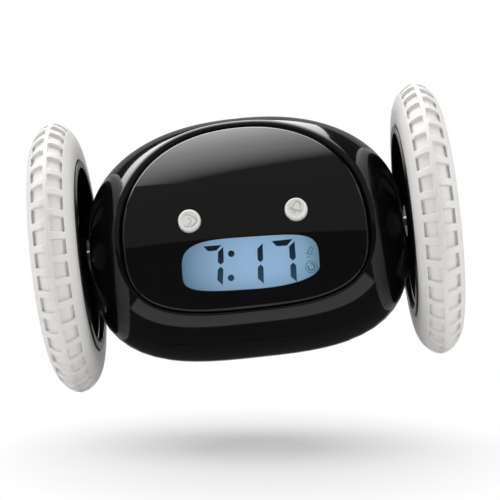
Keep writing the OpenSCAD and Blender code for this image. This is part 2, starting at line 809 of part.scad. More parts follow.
module wheel_hub(left) side(left) color("#1a1a1c") {
    rim_in = 29.3;
    lip = 0.8;
    window = petal(2.2, 10.8, 5.9, 20.2, 10);
    bead = petal(3.1, 10.8, 6.8, 20.2, 10);
    difference() {
        union() {
            revolved() polygon([
                [rim_in, hub_in + lip], [rim_in + lip, hub_in], [tyre_bore_r - 0.3, hub_in],
                [tyre_bore_r, hub_in + 0.3], [tyre_bore_r, wheel_x - 2.5], [tyre_bore_r + 1.5, wheel_x - 2.5],
                [tyre_bore_r + 1.5, wheel_x + 2.5], [tyre_bore_r, wheel_x + 2.5], [tyre_bore_r, hub_out - 0.3],
                [tyre_bore_r - 0.3, hub_out], [rim_in + lip, hub_out], [rim_in, hub_out - lip]]);
            slab(web_x) circle(rim_in + 0.5);
            slab([52.4, 62.4]) circle(5.2);
            for (i = [0:hub_windows - 1])
                slab([web_x[0] - 1.3, web_x[1] + 1.3]) rotate(360 * i / hub_windows) polygon(bead);
        }
        for (i = [0:hub_windows - 1])
            slab([web_x[0] - 2, web_x[1] + 2]) rotate(360 * i / hub_windows) polygon(window);
        slab([50, 66]) circle(axle_r);
        slab([61.5, 66]) circle(2.6);
    }
}

module hub_cap(left) side(left) color("#1a1a1c") {
    revolved() polygon(concat(
        [[0, 61.6], [2.5, 61.6], [2.5, 62.4], [7.6, 62.4]],
        [for (a = [0:15:90]) [6.6 + cos(a), 63.2 + sin(a)]],
        [[0, 64.8]]));
}

module tyre(left) side(left) color("#e9e7e4") {
    half = tyre_w / 2;
    row_u = 2.85;
    row_w = 4.2;
    edge_u = [row_u - row_w / 2, row_u + row_w / 2];
    slope = atan2(crown(edge_u[0]) - crown(edge_u[1]), row_w);
    middle_r = (crown(edge_u[0]) + crown(edge_u[1])) / 2 + 0.35;
    pitch = 360 / tread_n;
    difference() {
        revolved() polygon(concat(
            [[tyre_bore_r, wheel_x - half], [crown(half), wheel_x - half]],
            [for (i = [-9:9]) let (u = half * sin(10 * i)) [crown(u), wheel_x + u]],
            [[crown(half), wheel_x + half], [tyre_bore_r, wheel_x + half],
                [tyre_bore_r, wheel_x + 2.6], [tyre_bore_r + 1.6, wheel_x + 2.6],
                [tyre_bore_r + 1.6, wheel_x - 2.6], [tyre_bore_r, wheel_x - 2.6]]));
        for (s = [-1, 1], i = [0:tread_n - 1])
            rotate([pitch * (i + (s > 0 ? 0.5 : 0)), 0, 0])
                translate([wheel_x + s * row_u, 0, middle_r])
                    rotate([0, s * slope, 0])
                        translate([-row_w / 2, -pocket_len / 2, -pocket_depth]) cube([row_w, pocket_len, 4]);
    }
}

// ---------------------------------------------------------------- left and right

module gearbox_frame_left() gearbox_frame(true);
module gearbox_frame_right() gearbox_frame(false);
module gearbox_cover_left() gearbox_cover(true);
module gearbox_cover_right() gearbox_cover(false);
module motor_left() motor(true);
module motor_right() motor(false);
module motor_pinion_left() motor_pinion(true);
module motor_pinion_right() motor_pinion(false);
module first_gear_left() first_gear(true);
module first_gear_right() first_gear(false);
module second_gear_left() second_gear(true);
module second_gear_right() second_gear(false);
module axle_left() axle(true);
module axle_right() axle(false);
module drive_gear_left() drive_gear(true);
module drive_gear_right() drive_gear(false);
module wheel_hub_left() wheel_hub(true);
module wheel_hub_right() wheel_hub(false);
module tyre_left() tyre(true);
module tyre_right() tyre(false);
module hub_cap_left() hub_cap(true);
module hub_cap_right() hub_cap(false);

front_shell();
rear_shell();
bottom_tray();
battery_door();
face_panel();
display_lens();
display_glass();
display_frame();
display_backlight();
zebra_strip();
main_board();
board_parts();
eye_switches();
time_button();
alarm_button();
time_plunger();
alarm_plunger();
rear_board();
rear_switches();
hour_button();
minute_button();
hour_plunger();
minute_plunger();
snooze_button();
snooze_board();
snooze_plunger();
run_switch();
run_knob();
speaker();
speaker_cone();
battery_compartment();
battery_cells();
battery_contacts();
battery_springs();
housing_screws();
door_screw();
gearbox_screws();
axle_bushes();
gearbox_frame_left();
gearbox_frame_right();
gearbox_cover_left();
gearbox_cover_right();
motor_left();
motor_right();
motor_pinion_left();
motor_pinion_right();
first_gear_left();
first_gear_right();
second_gear_left();
second_gear_right();
axle_left();
axle_right();
drive_gear_left();
drive_gear_right();
wheel_hub_left();
wheel_hub_right();
tyre_left();
tyre_right();
hub_cap_left();
hub_cap_right();
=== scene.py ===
import json
import math

import bmesh
import bpy
from mathutils import Matrix, Vector

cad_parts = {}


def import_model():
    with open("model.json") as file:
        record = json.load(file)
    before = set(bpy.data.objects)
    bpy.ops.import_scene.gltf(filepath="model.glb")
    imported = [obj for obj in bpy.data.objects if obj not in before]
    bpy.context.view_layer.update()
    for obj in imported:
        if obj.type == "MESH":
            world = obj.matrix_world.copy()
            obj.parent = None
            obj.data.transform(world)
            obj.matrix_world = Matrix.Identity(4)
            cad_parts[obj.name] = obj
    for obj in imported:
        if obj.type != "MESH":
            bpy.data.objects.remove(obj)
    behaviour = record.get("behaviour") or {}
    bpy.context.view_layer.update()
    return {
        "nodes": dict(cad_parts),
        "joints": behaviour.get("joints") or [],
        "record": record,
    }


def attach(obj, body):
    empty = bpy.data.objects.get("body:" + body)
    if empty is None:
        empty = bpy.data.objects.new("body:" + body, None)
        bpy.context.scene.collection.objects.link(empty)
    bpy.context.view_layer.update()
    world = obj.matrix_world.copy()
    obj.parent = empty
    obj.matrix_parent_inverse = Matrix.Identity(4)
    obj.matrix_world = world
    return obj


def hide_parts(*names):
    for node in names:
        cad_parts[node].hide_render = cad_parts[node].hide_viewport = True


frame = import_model()
nodes = frame["nodes"]
mm = 0.001
deg = math.radians
sides = ((-1, "left"), (1, "right"))
axle = Vector(next(j for j in frame["joints"] if j["name"] == "left_wheel_spin")["pos_m"])
print("frame loaded:", len(nodes), "nodes, axle", round(axle.z / mm, 2), "mm up")


# Materials

def newMaterial(name, **inputs):
    material = bpy.data.materials.new(name)
    material.use_nodes = True
    shader = material.node_tree.nodes["Principled BSDF"]
    for key, value in inputs.items():
        shader.inputs[key.replace("_", " ")].default_value = value
    return material, material.node_tree, shader


def objectPlace(tree, stretch=(1, 1, 1)):
    place = tree.nodes.new("ShaderNodeTexCoord")
    mapping = tree.nodes.new("ShaderNodeMapping")
    mapping.inputs["Scale"].default_value = stretch
    tree.links.new(place.outputs["Object"], mapping.inputs["Vector"])
    return mapping.outputs["Vector"]


def objectNoise(tree, scale, detail=3.0, stretch=(1, 1, 1)):
    noise = tree.nodes.new("ShaderNodeTexNoise")
    noise.inputs["Scale"].default_value = scale
    noise.inputs["Detail"].default_value = detail
    tree.links.new(objectPlace(tree, stretch), noise.inputs["Vector"])
    return noise.outputs["Fac"]


def ramp(tree, factor, stops):
    node = tree.nodes.new("ShaderNodeValToRGB")
    while len(node.color_ramp.elements) < len(stops):
        node.color_ramp.elements.new(0.5)
    for element, (position, colour) in zip(node.color_ramp.elements, stops):
        element.position = position
        element.color = (*colour, 1)
    tree.links.new(factor, node.inputs["Fac"])
    return node.outputs["Color"]


noiseSpan = (0.3, 0.7)  # where most of a noise's values lie


def spread(tree, factor, low, high, start=noiseSpan[0], end=noiseSpan[1]):
    node = tree.nodes.new("ShaderNodeMapRange")
    for key, value in {"From Min": start, "From Max": end, "To Min": low, "To Max": high}.items():
        node.inputs[key].default_value = value
    tree.links.new(factor, node.inputs["Value"])
    return node.outputs["Result"]


# Scales of the noises per metre, how far roughness wanders, and how strongly the grain shows
finish = {"cloud": 45, "cloudDetail": 2, "wear": 120, "wearRange": (0.85, 1.15), "bump": 0.3}


def addBump(tree, shader, factor, distance):
    bump = tree.nodes.new("ShaderNodeBump")
    bump.inputs["Strength"].default_value = finish["bump"]
    bump.inputs["Distance"].default_value = distance
    tree.links.new(factor, bump.inputs["Height"])
    tree.links.new(bump.outputs["Normal"], shader.inputs["Normal"])


def shaded(colour, amount):
    return tuple(min(1, channel * amount) for channel in colour)


# A moulded or drawn surface: slow drift of colour, finer drift of roughness, and a grain
def surface(name, colour, rough, grain=900, depth=0.01, drift=0.08, stretch=(1, 1, 1), **more):
    material, tree, shader = newMaterial(name, **more)
    cloud = objectNoise(tree, finish["cloud"], finish["cloudDetail"])
    stops = list(zip(noiseSpan, (shaded(colour, 1 - drift), shaded(colour, 1 + drift))))
    tree.links.new(ramp(tree, cloud, stops), shader.inputs["Base Color"])
    least, most = finish["wearRange"]
    wear = spread(tree, objectNoise(tree, finish["wear"]), rough * least, rough * most)
    tree.links.new(wear, shader.inputs["Roughness"])
    if depth:
        addBump(tree, shader, objectNoise(tree, grain, stretch=stretch), depth * mm)
    return material


looks = {
    "body_gloss": surface("bodyGloss", (0.0038, 0.0038, 0.0044), rough=0.075, grain=500, depth=0.0016),
    "base_gloss": surface("baseGloss", (0.0042, 0.0042, 0.0048), rough=0.11, grain=500, depth=0.003),
    "face_gloss": surface("faceGloss", (0.0036, 0.0036, 0.0042), rough=0.045, depth=0),
    "light_guide": surface("lightGuide", (0.82, 0.89, 0.95), rough=0.5),
    "inner_black": surface("innerBlack", (0.018, 0.018, 0.02), rough=0.5, grain=2500, depth=0.02),
    "zebra": surface("zebra", (0.6, 0.28, 0.33), rough=0.6, grain=300, depth=0.02, stretch=(20, 1, 1)),
    "board_green": surface("boardGreen", (0.03, 0.16, 0.06), rough=0.35, grain=600),
    "component_black": surface("componentBlack", (0.015, 0.015, 0.016), rough=0.4),
    "button_white": surface("buttonWhite", (0.74, 0.72, 0.68), rough=0.34, grain=1200, depth=0.004,
                            drift=0.02),
    "plunger": surface("plunger", (0.55, 0.44, 0.3), rough=0.5),
    "speaker_metal": surface("speakerMetal", (0.25, 0.26, 0.28), rough=0.4, Metallic=1.0),
    "speaker_paper": surface("speakerPaper", (0.02, 0.02, 0.021), rough=0.85, grain=1500, depth=0.05),
    "cell_wrap": surface("cellWrap", (0.03, 0.1, 0.32), rough=0.3),
    "nickel": surface("nickel", (0.6, 0.58, 0.54), rough=0.22, Metallic=1.0),
    "steel": surface("steel", (0.5, 0.51, 0.53), rough=0.27, grain=700, depth=0.006, stretch=(1, 6, 6),
                     Metallic=1.0),
    "brass": surface("brass", (0.6, 0.4, 0.14), rough=0.25, Metallic=1.0),
    "gear_white": surface("gearWhite", (0.74, 0.73, 0.67), rough=0.42),
    "hub_black": surface("hubBlack", (0.005, 0.005, 0.006), rough=0.12, grain=1500, depth=0.002),
    "tyre_white": surface("tyreWhite", (0.72, 0.7, 0.675), rough=0.46, grain=1400, depth=0.02, drift=0.015),
}
print("materials ready:", len(looks))


# Building

# Adds a mesh that rides on a body and stands for CAD nodes
def addPiece(name, shape, slotName, body, *stands, material=None):
    mesh = shape
    if isinstance(shape, bmesh.types.BMesh):
        mesh = bpy.data.meshes.new(name)
        shape.to_mesh(mesh)
        shape.free()
    mesh.name = name
    mesh.materials.clear()
    mesh.materials.append(material or looks[slotName])
    piece = bpy.data.objects.new(name, mesh)
    bpy.context.collection.objects.link(piece)
    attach(piece, body)
    if stands:
        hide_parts(*stands)
    return piece


def smoothed(piece, angle):
    piece.data.shade_smooth()
    piece.data.set_sharp_from_angle(angle=deg(angle))
    modifier = piece.modifiers.new("normals", "WEIGHTED_NORMAL")
    modifier.keep_sharp = True
    return piece


# Skin through closed loops of equal length. Each loop is (points, normals before it, normals after it)
def sweepLoops(loops, cyclic=False, capped=False):
    shape = bmesh.new()
    ring = shape.verts.layers.int.new("ring")
    place = shape.verts.layers.int.new("place")
    count = len(loops[0][0])
    row = [shape.verts.new(point) for point in loops[0][0]]
    for i, vertex in enumerate(row):
        vertex[place] = i
    edges = [shape.edges.new((row[i], row[(i + 1) % count])) for i in range(count)]
    firstEdges = edges
    for level, (points, *_) in enumerate(loops[1:], 1):
        made = bmesh.ops.extrude_edge_only(shape, edges=edges)["geom"]
        fresh = {part for part in made if isinstance(part, bmesh.types.BMVert)}
        for vertex in fresh:
            vertex.co = points[vertex[place]]
            vertex[ring] = level
        edges = [part for part in made if isinstance(part, bmesh.types.BMEdge)
                 and set(part.verts) <= fresh]
    if cyclic:
        bmesh.ops.bridge_loops(shape, edges=firstEdges + edges)
    if capped:
        for rim in (firstEdges, edges):
            bmesh.ops.contextual_create(shape, geom=rim)
    bmesh.ops.recalc_face_normals(shape, faces=shape.faces)
    return shape


# Gives each corner of a swept skin the normal that its loop states, or else the face's own
def stateNormals(mesh, loops):
    rings = [item.value for item in mesh.attributes["ring"].data]
    places = [item.value for item in mesh.attributes["place"].data]
    last = len(loops) - 1
    normals = [None] * len(mesh.loops)
    for face in mesh.polygons:
        levels = {rings[i] for i in face.vertices}
        low, high = min(levels), max(levels)
        if high - low > 1:
            low, high = high, low
        for corner, vertex in zip(face.loop_indices, face.vertices):
            stated = loops[rings[vertex]][2 if rings[vertex] == low and high != low else 1]
            if high == low:
                stated = loops[low][1 if low == last else 2]
            normals[corner] = stated[places[vertex]] if stated else face.normal
    mesh.shade_smooth()
    mesh.normals_split_custom_set([tuple(normal) for normal in normals])


# Normals of a mesh cut from a known surface: the surface's own where a face lies in it, elsewhere
# the mean of the faces that meet there at less than the limit
def surfaceNormals(mesh, known, reach=12, limit=40):
    around = {}
    for face in mesh.polygons:
        for vertex in face.vertices:
            around.setdefault(vertex, []).append(face)
    nearly, apart = math.cos(deg(reach)), math.cos(deg(limit))
    normals = []
    for face in mesh.polygons:
        for vertex in face.vertices:
            exact = known(mesh.vertices[vertex].co)
            turn = face.normal.dot(exact) if exact else 0
            if abs(turn) > nearly:
                normals.append(tuple(exact if turn > 0 else -exact))
                continue
            mean = Vector()
            for other in around[vertex]:
                if other.normal.dot(face.normal) > apart:
                    mean += other.normal * other.area
            normals.append(tuple(mean.normalized() if mean.length else face.normal))
    mesh.shade_smooth()
    mesh.normals_split_custom_set(normals)


# Draws a sheet of faces out by a vector
def pushedOut(shape, sheet, push):
    made = bmesh.ops.extrude_face_region(shape, geom=sheet)["geom"]
    fresh = [part for part in made if isinstance(part, bmesh.types.BMVert)]
    bmesh.ops.translate(shape, verts=fresh, vec=push)


# Copy of a CAD node whose points are joined where they meet
def mergedCopy(node, near=0.002):
    shape = bmesh.new()
    shape.from_mesh(nodes[node].data)
    bmesh.ops.remove_doubles(shape, verts=shape.verts, dist=near * mm)
    return shape


# Mesh of a shape once the cutters are taken out of it
def settled(shape, cutters):
    base = bpy.data.objects.new("base", bpy.data.meshes.new("base"))
    shape.to_mesh(base.data)
    shape.free()
    bpy.context.collection.objects.link(base)
    helpers = [base]
    for cutter in cutters:
        tool = bpy.data.objects.new("cutter", bpy.data.meshes.new("cutter"))
        cutter.to_mesh(tool.data)
        cutter.free()
        bpy.context.collection.objects.link(tool)
        helpers.append(tool)
        modifier = base.modifiers.new("cut", "BOOLEAN")
        modifier.object = tool
        modifier.operation = "DIFFERENCE"
        modifier.solver = "EXACT"
    graph = bpy.context.evaluated_depsgraph_get()
    mesh = bpy.data.meshes.new_from_object(base.evaluated_get(graph))
    for helper in helpers:
        bpy.data.objects.remove(helper)
    return mesh


# Turns a profile of (radius, height) round an axis through a point
def turned(profile, at, axis, segments, near=0.001):
    shape = bmesh.new()
    axis = Vector(axis).normalized()
    across = axis.orthogonal().normalized()
    row = [shape.verts.new(Vector(at) + (across * r + axis * h) * mm) for r, h in profile]
    edges = [shape.edges.new(pair) for pair in zip(row, row[1:])]
    bmesh.ops.spin(shape, geom=row + edges, cent=at, axis=axis, angle=2 * math.pi, steps=segments,
                   use_merge=True)
    bmesh.ops.remove_doubles(shape, verts=shape.verts, dist=near * mm)
    bmesh.ops.recalc_face_normals(shape, faces=shape.faces)
    return shape


# Outlines and the barrel

def power(value, exponent):
    return math.copysign(abs(value) ** exponent, value)


# Superellipse with its own height and squareness in each quarter, in even steps along its length
def eggOutline(halfWidth, up, down, squareness, count):
    dense = []
    fine = 4000
    for i in range(fine):
        turn = 2 * math.pi * i / fine
        exponent = 2 / squareness[min(3, 4 * i // fine)]
        height = up if math.sin(turn) >= 0 else down
        x, y = power(math.cos(turn), exponent), power(math.sin(turn), exponent)
        dense.append((halfWidth * x, height * y))
    lengths = [0]
    for a, b in zip(dense, dense[1:] + dense[:1]):
        lengths.append(lengths[-1] + math.dist(a, b))
    outline, k = [], 0
    for i in range(count):
        wanted = lengths[-1] * i / count
        while lengths[k + 1] <= wanted:
            k += 1
        part = (wanted - lengths[k]) / (lengths[k + 1] - lengths[k])
        a, b = dense[k], dense[(k + 1) % fine]
        outline.append((a[0] + (b[0] - a[0]) * part, a[1] + (b[1] - a[1]) * part))
    return outline


def scaledAbout(centre, points, amount):
    across, up = centre
    return [(across + (x - across) * amount, up + (y - up) * amount) for x, y in points]


# Place between low and high up to which a test holds
def lastInside(test, low, high, halvings=40):
    for _ in range(halvings):
        middle = (low + high) / 2
        if test(middle):
            low = middle
        else:
            high = middle
    return low


# Outward directions of a closed outline that runs anticlockwise
def outwardOf(outline):
    result = []
    for i, _ in enumerate(outline):
        a, b = outline[i - 1], outline[(i + 1) % len(outline)]
        length = math.dist(a, b)
        result.append(((b[1] - a[1]) / length, (a[0] - b[0]) / length))
    return result


# "skin" and "lining" are spans of depth, from the surface and from the inside of the wall. A point
# between them counts as lying on the one or the other
barrel = {"radius": 39.4, "half": 52.5, "end": 51.0, "squareness": 2.7, "drift": 0.4, "edge": 60,
          "wall": 2.0, "skin": (-0.3, 0.4), "lining": (-0.4, 1.2)}


# Point of the housing's surface, in millimetres from the middle of the axles. theta runs from the
# right-hand end, phi upwards from the front
def barrelPoint(theta, phi, inset=0.0):
    n = barrel["squareness"] - barrel["drift"] * math.sin(phi)
    c, s = math.cos(theta), math.sin(theta)
    curve = (abs(c) / (barrel["half"] - inset)) ** n + (s / (barrel["radius"] - inset)) ** n
    flat = abs(c) / (barrel["end"] - inset)
    p = barrel["edge"]
    reach = (curve ** (p / n) + flat ** p) ** (-1 / p)
    return Vector((reach * c, -reach * s * math.cos(phi), reach * s * math.sin(phi)))


def barrelNormal(theta, phi):
    h = 2e-4
    along = barrelPoint(theta + h, phi) - barrelPoint(theta - h, phi)
    around = barrelPoint(theta, phi + h) - barrelPoint(theta, phi - h)
    normal = along.cross(around).normalized()
    return normal if normal.dot(barrelPoint(theta, phi)) > 0 else -normal


def barrelAngles(point):
    return math.acos(max(-1, min(1, point.x / point.length))), math.atan2(point.z, -point.y)


def world(point):
    return axle + point * mm


# Normal of the barrel for a point on its skin or on the lining behind it
def nearBarrel(position):
    point = (position - axle) / mm
    theta, phi = barrelAngles(point)
    depth = barrelPoint(theta, phi).length - point.length
    for start, (low, high) in ((0, barrel["skin"]), (barrel["wall"], barrel["lining"])):
        if low < depth - start < high:
            return barrelNormal(theta, phi)
    return None


# The face's own frame: u to the right, v up the face, w out of it

face = {"tilt": deg(16.4), "at": Vector((0, -24.5, 7.15)), "midV": -7, "halfWidth": 38.3, "up": 37,
        "down": 23, "squareness": (2.1, 2.1, 3.1, 3.1), "top": 9.6, "radiusV": 48.8, "radiusH": 179,
        "wall": 2.0, "reach": 45, "depths": (-3.2, 0.1)}
faceV = Vector((0, math.sin(face["tilt"]), math.cos(face["tilt"])))
faceW = Vector((0, -math.cos(face["tilt"]), math.sin(face["tilt"])))


def facePoint(u, v, w):
    return face["at"] + Vector((u, 0, 0)) + faceV * v + faceW * w


def faceOutline(grow, count):
    outline = eggOutline(face["halfWidth"] + grow, face["up"] + grow, face["down"] + grow,
                         face["squareness"], count)
    return [(u, v + face["midV"]) for u, v in outline]


def domeHeight(u, v, inset=0.0):
    ring = face["radiusH"] - face["radiusV"] + math.sqrt((face["radiusV"] - inset) ** 2 - v * v)
    return face["top"] - face["radiusH"] + math.sqrt(ring * ring - u * u)


def domeNormal(u, v):
    h = 0.01
    slopeU = (domeHeight(u + h, v) - domeHeight(u - h, v)) / (2 * h)
    slopeV = (domeHeight(u, v + h) - domeHeight(u, v - h)) / (2 * h)
    return (Vector((-slopeU, 0, 0)) - faceV * slopeV + faceW).normalized()


# Normal of the dome for a point on it or on the lining behind it
def nearDome(position):
    point = (position - axle) / mm - face["at"]
    u, v, w = point.x, point.dot(faceV), point.dot(faceW)
    low, high = face["depths"]
    if max(abs(u), abs(v)) > face["reach"] or not low < w - domeHeight(u, v) < high:
        return None
    return domeNormal(u, v)


# Front shell: from the seams to a rounded rim round the face

shell = {"count": 240, "rings": 26, "liningRings": 6, "liningStart": 0.02, "seams": (-55, 90),
         "gap": 0.12, "bevel": 0.32, "chamfer": 0.22, "end": 5.15, "rimRadius": (0.5, 1.7),
         "rimRise": (-24, -6), "rimGap": 0.12, "rimSteps": 7, "rimRounds": 4, "wallDrop": 1.2,
         "centre": (deg(90), deg(17)), "heights": (-12.0, 30.0)}


# Height at which a line out of the face leaves the barrel
def heightOnBarrel(u, v):
    def within(height):
        point = facePoint(u, v, height)
        return point.length < barrelPoint(*barrelAngles(point)).length

    return lastInside(within, *shell["heights"])


# The rim is rounder at the sides and top than below the face. Where it starts hangs on the barrel's
# normal there, which a few rounds find
def rimLoop():
    outline = faceOutline(0, shell["count"])
    outward = outwardOf(outline)
    start, stop = shell["rimRise"]
    least, most = shell["rimRadius"]
    loop = []
    for (u, v), (outU, outV) in zip(outline, outward):
        part = max(0, min(1, (v - start) / (stop - start)))
        radius = least + (most - least) * part * part * (3 - 2 * part)
        outward3 = Vector((outU, 0, 0)) + faceV * outV
        normal = faceW
        for _ in range(shell["rimRounds"]):
            lean = (normal.x, normal.dot(faceV))
            startU = u + (shell["rimGap"] + radius) * outU + radius * lean[0]
            startV = v + (shell["rimGap"] + radius) * outV + radius * lean[1]
            point = facePoint(startU, startV, heightOnBarrel(startU, startV))
            normal = barrelNormal(*barrelAngles(point))
        loop.append((point, normal, -outward3, radius))
    return loop


# Loop of (theta, phi) on a rectangle's edge, each in line with a point of the rim as seen from the
# centre
def rectangleLoop(rim, low, high, margin):
    thetaC, phiC = shell["centre"]
    end = deg(shell["end"])
    limits = ((end, math.pi - end), (deg(low + margin), deg(high - margin)))
    corners = [(theta, phi) for theta in limits[0] for phi in limits[1]]

    def off(spoke, other):
        return abs(math.remainder(spoke - other, 2 * math.pi))

    spokes = [math.atan2(phi - phiC, theta - thetaC) for theta, phi in rim]
    loop = []
    for theta, phi in rim:
        goes = [theta - thetaC, phi - phiC]
        reach = []
        for step, middle, (lowEnd, highEnd) in zip(goes, (thetaC, phiC), limits):
            if abs(step) > 1e-9:
                reach.append(((highEnd if step > 0 else lowEnd) - middle) / step)
        loop.append((thetaC + goes[0] * min(reach), phiC + goes[1] * min(reach)))
    for corner in corners:
        spoke = math.atan2(corner[1] - phiC, corner[0] - thetaC)
        nearest = min(range(len(spokes)), key=lambda i: off(spokes[i], spoke))
        loop[nearest] = corner
    return loop


def frontShell():
    rim = rimLoop()
    rimAngles = [barrelAngles(point) for point, *_ in rim]
    low, high = shell["seams"][0] + shell["gap"], shell["seams"][1] - shell["gap"]
    outer = rectangleLoop(rimAngles, low, high, 0)
    trimmed = rectangleLoop(rimAngles, low, high, shell["bevel"])

    def skin(angles, inset):
        return [world(barrelPoint(theta, phi, inset)) for theta, phi in angles]

    def outwardAt(angles):
        return [barrelNormal(theta, phi) for theta, phi in angles]

    def between(a, b, t):
        return [(p[0] + (q[0] - p[0]) * t, p[1] + (q[1] - p[1]) * t) for p, q in zip(a, b)]

    wall = barrel["wall"]
    loops = [(skin(outer, wall), None, None), (skin(outer, shell["chamfer"]), None, None)]
    for k in range(shell["rings"] + 1):
        angles = between(trimmed, rimAngles, k / shell["rings"])
        normals = outwardAt(angles)
        loops.append((skin(angles, 0), normals if k else None, normals))
    for k in range(1, shell["rimSteps"] + 1):
        points, normals = [], []
        for point, normal, inward, radius in rim:
            turn = normal.slerp(inward, k / shell["rimSteps"])
            points.append(world(point + (turn - normal) * radius))
            normals.append(turn)
        loops.append((points, normals, normals))
    inward = [item[2] for item in rim]
    bottom = [point - faceW * shell["wallDrop"] * mm for point in loops[-1][0]]
    loops.append((bottom, inward, None))
    lining = [barrelAngles((point - axle) / mm) for point in bottom]
    start, count = shell["liningStart"], shell["liningRings"]
    for k in range(1, count):
        angles = between(lining, outer, start + (1 - start) * k / count)
        loops.append((skin(angles, wall), None, None))
    shape = sweepLoops(loops, cyclic=True)
    piece = addPiece("frontShell", shape, "body_gloss", "housing", "front_shell")
    stateNormals(piece.data, loops)
    return piece


frontShell()
print("front shell built")


# Display window, in [x, z] from the axle

window = {"at": (0.7, -9.7), "turn": deg(-2.4), "halfWidth": 21.2, "up": 10, "down": 6.1,
          "squareness": (4.8, 3.6, 3.9, 2.2), "glassY": -29.6, "depths": (-45.0, -20.0), "cut": (-45, 17),
          "cutCount": 160}


def windowPoint(x, z):
    c, s = math.cos(window["turn"]), math.sin(window["turn"])
    return window["at"][0] + c * x - s * z, window["at"][1] + s * x + c * z


def windowOutline(grow, count):
    outline = eggOutline(window["halfWidth"] + grow, window["up"] + grow, window["down"] + grow,
                         window["squareness"], count)
    return [windowPoint(*point) for point in outline]


# Place on the dome, inset below it, of a line that runs straight back at x and z
def domeBehind(x, z, inset):
    def outside(y):
        point = Vector((x, y, z)) - face["at"]
        return point.dot(faceW) > domeHeight(x, point.dot(faceV), inset)

    return Vector((x, lastInside(outside, *window["depths"]), z))


# Face panel

panel = {"count": 240, "rings": 24, "edgeRadius": 1.1, "edgeSteps": 6, "liningRings": 8, "heart": 0.01}
eye = {"x": 16.5, "at": (-33.67, 7.03), "tilt": deg(14), "radius": 3.55, "gap": 0.2,
       "hole": (-5, 9), "holeSteps": 64}
eyeOut = Vector((0, -math.cos(eye["tilt"]), math.sin(eye["tilt"])))
eyeUp = Vector((0, math.sin(eye["tilt"]), math.cos(eye["tilt"])))


def eyeAt(side):
    return Vector((side * eye["x"], *eye["at"]))


def windowCutter():
    shape = bmesh.new()
    start, length = window["cut"]
    outline = windowOutline(0, window["cutCount"])
    row = [shape.verts.new(world(Vector((x, start, z)))) for x, z in outline]
    pushedOut(shape, [shape.faces.new(row)], (0, length * mm, 0))
    bmesh.ops.recalc_face_normals(shape, faces=shape.faces)
    return shape


def facePanel():
    outline = faceOutline(0, panel["count"])
    outward = outwardOf(outline)
    centre = (0, face["midV"])

    def at(points, inset, drop=0.0):
        return [world(facePoint(u, v, domeHeight(u, v, inset) - drop)) for u, v in points]

    loops = []
    heart = panel["heart"]
    for k in range(panel["liningRings"] + 1):
        points = scaledAbout(centre, outline, heart + (1 - heart) * k / panel["liningRings"])
        loops.append((at(points, face["wall"]), None, None))
    radius = panel["edgeRadius"]
    for k in range(panel["edgeSteps"] + 1):
        turn = deg(90) * k / panel["edgeSteps"]
        inset = radius * (1 - math.cos(turn))
        edge = [(u - du * inset, v - dv * inset) for (u, v), (du, dv) in zip(outline, outward)]
        loops.append((at(edge, 0, radius * (1 - math.sin(turn))), None, None))
    for k in range(1, panel["rings"] + 1):
        points = scaledAbout(centre, edge, 1 - (1 - heart) * k / panel["rings"])
        loops.append((at(points, 0), None, None))
    shape = sweepLoops(loops, capped=True)
    cutters = [windowCutter()]
    reach = eye["radius"] + eye["gap"]
    low, high = eye["hole"]
    for side in (-1, 1):
        profile = [(0, low), (reach, low), (reach, high), (0, high)]
        cutters.append(turned(profile, world(eyeAt(side)), eyeOut, eye["holeSteps"]))
    mesh = settled(shape, cutters)
    piece = addPiece("facePanel", mesh, "face_gloss", "housing", "face_panel")
    surfaceNormals(piece.data, nearDome)
    return piece


facePanel()
print("face panel built")


# Lens, and what the display shows

clearLens = {"gap": 0.04, "count": 120, "heart": (0, 1.5), "steps": (0.02, 0.2, 0.4, 0.6, 0.8, 1),
             "front": 0.4, "back": 2.8, "tint": (0.93, 0.97, 1, 1), "rough": (0.03, 0.06), "noise": 90,
             "index": 1.46}


def lensMaterial():
    material = bpy.data.materials.new("lens")
    material.use_nodes = True
    tree = material.node_tree
    tree.nodes.clear()
    output = tree.nodes.new("ShaderNodeOutputMaterial")
    clear = tree.nodes.new("ShaderNodeBsdfTransparent")
    clear.inputs["Color"].default_value = clearLens["tint"]
    shine = tree.nodes.new("ShaderNodeBsdfGlossy")
    wear = spread(tree, objectNoise(tree, clearLens["noise"]), *clearLens["rough"])
    tree.links.new(wear, shine.inputs["Roughness"])
    fresnel = tree.nodes.new("ShaderNodeFresnel")
    fresnel.inputs["IOR"].default_value = clearLens["index"]
    mix = tree.nodes.new("ShaderNodeMixShader")
    tree.links.new(fresnel.outputs["Fac"], mix.inputs["Fac"])
    tree.links.new(clear.outputs["BSDF"], mix.inputs[1])
    tree.links.new(shine.outputs["BSDF"], mix.inputs[2])
    tree.links.new(mix.outputs["Shader"], output.inputs["Surface"])
    return material


def displayLens():
    outline = windowOutline(-clearLens["gap"], clearLens["count"])
    centre = windowPoint(*clearLens["heart"])

    def at(amount, inset):
        return [world(domeBehind(x, z, inset)) for x, z in scaledAbout(centre, outline, amount)]

    steps = clearLens["steps"]
    loops = [(at(amount, clearLens["back"]), None, None) for amount in steps]
    loops += [(at(amount, clearLens["front"]), None, None) for amount in reversed(steps)]
    piece = addPiece("displayLens", sweepLoops(loops, capped=True), "lens", "housing", "display_lens",
                     material=lensMaterial())
    surfaceNormals(piece.data, nearDome)
    return piece


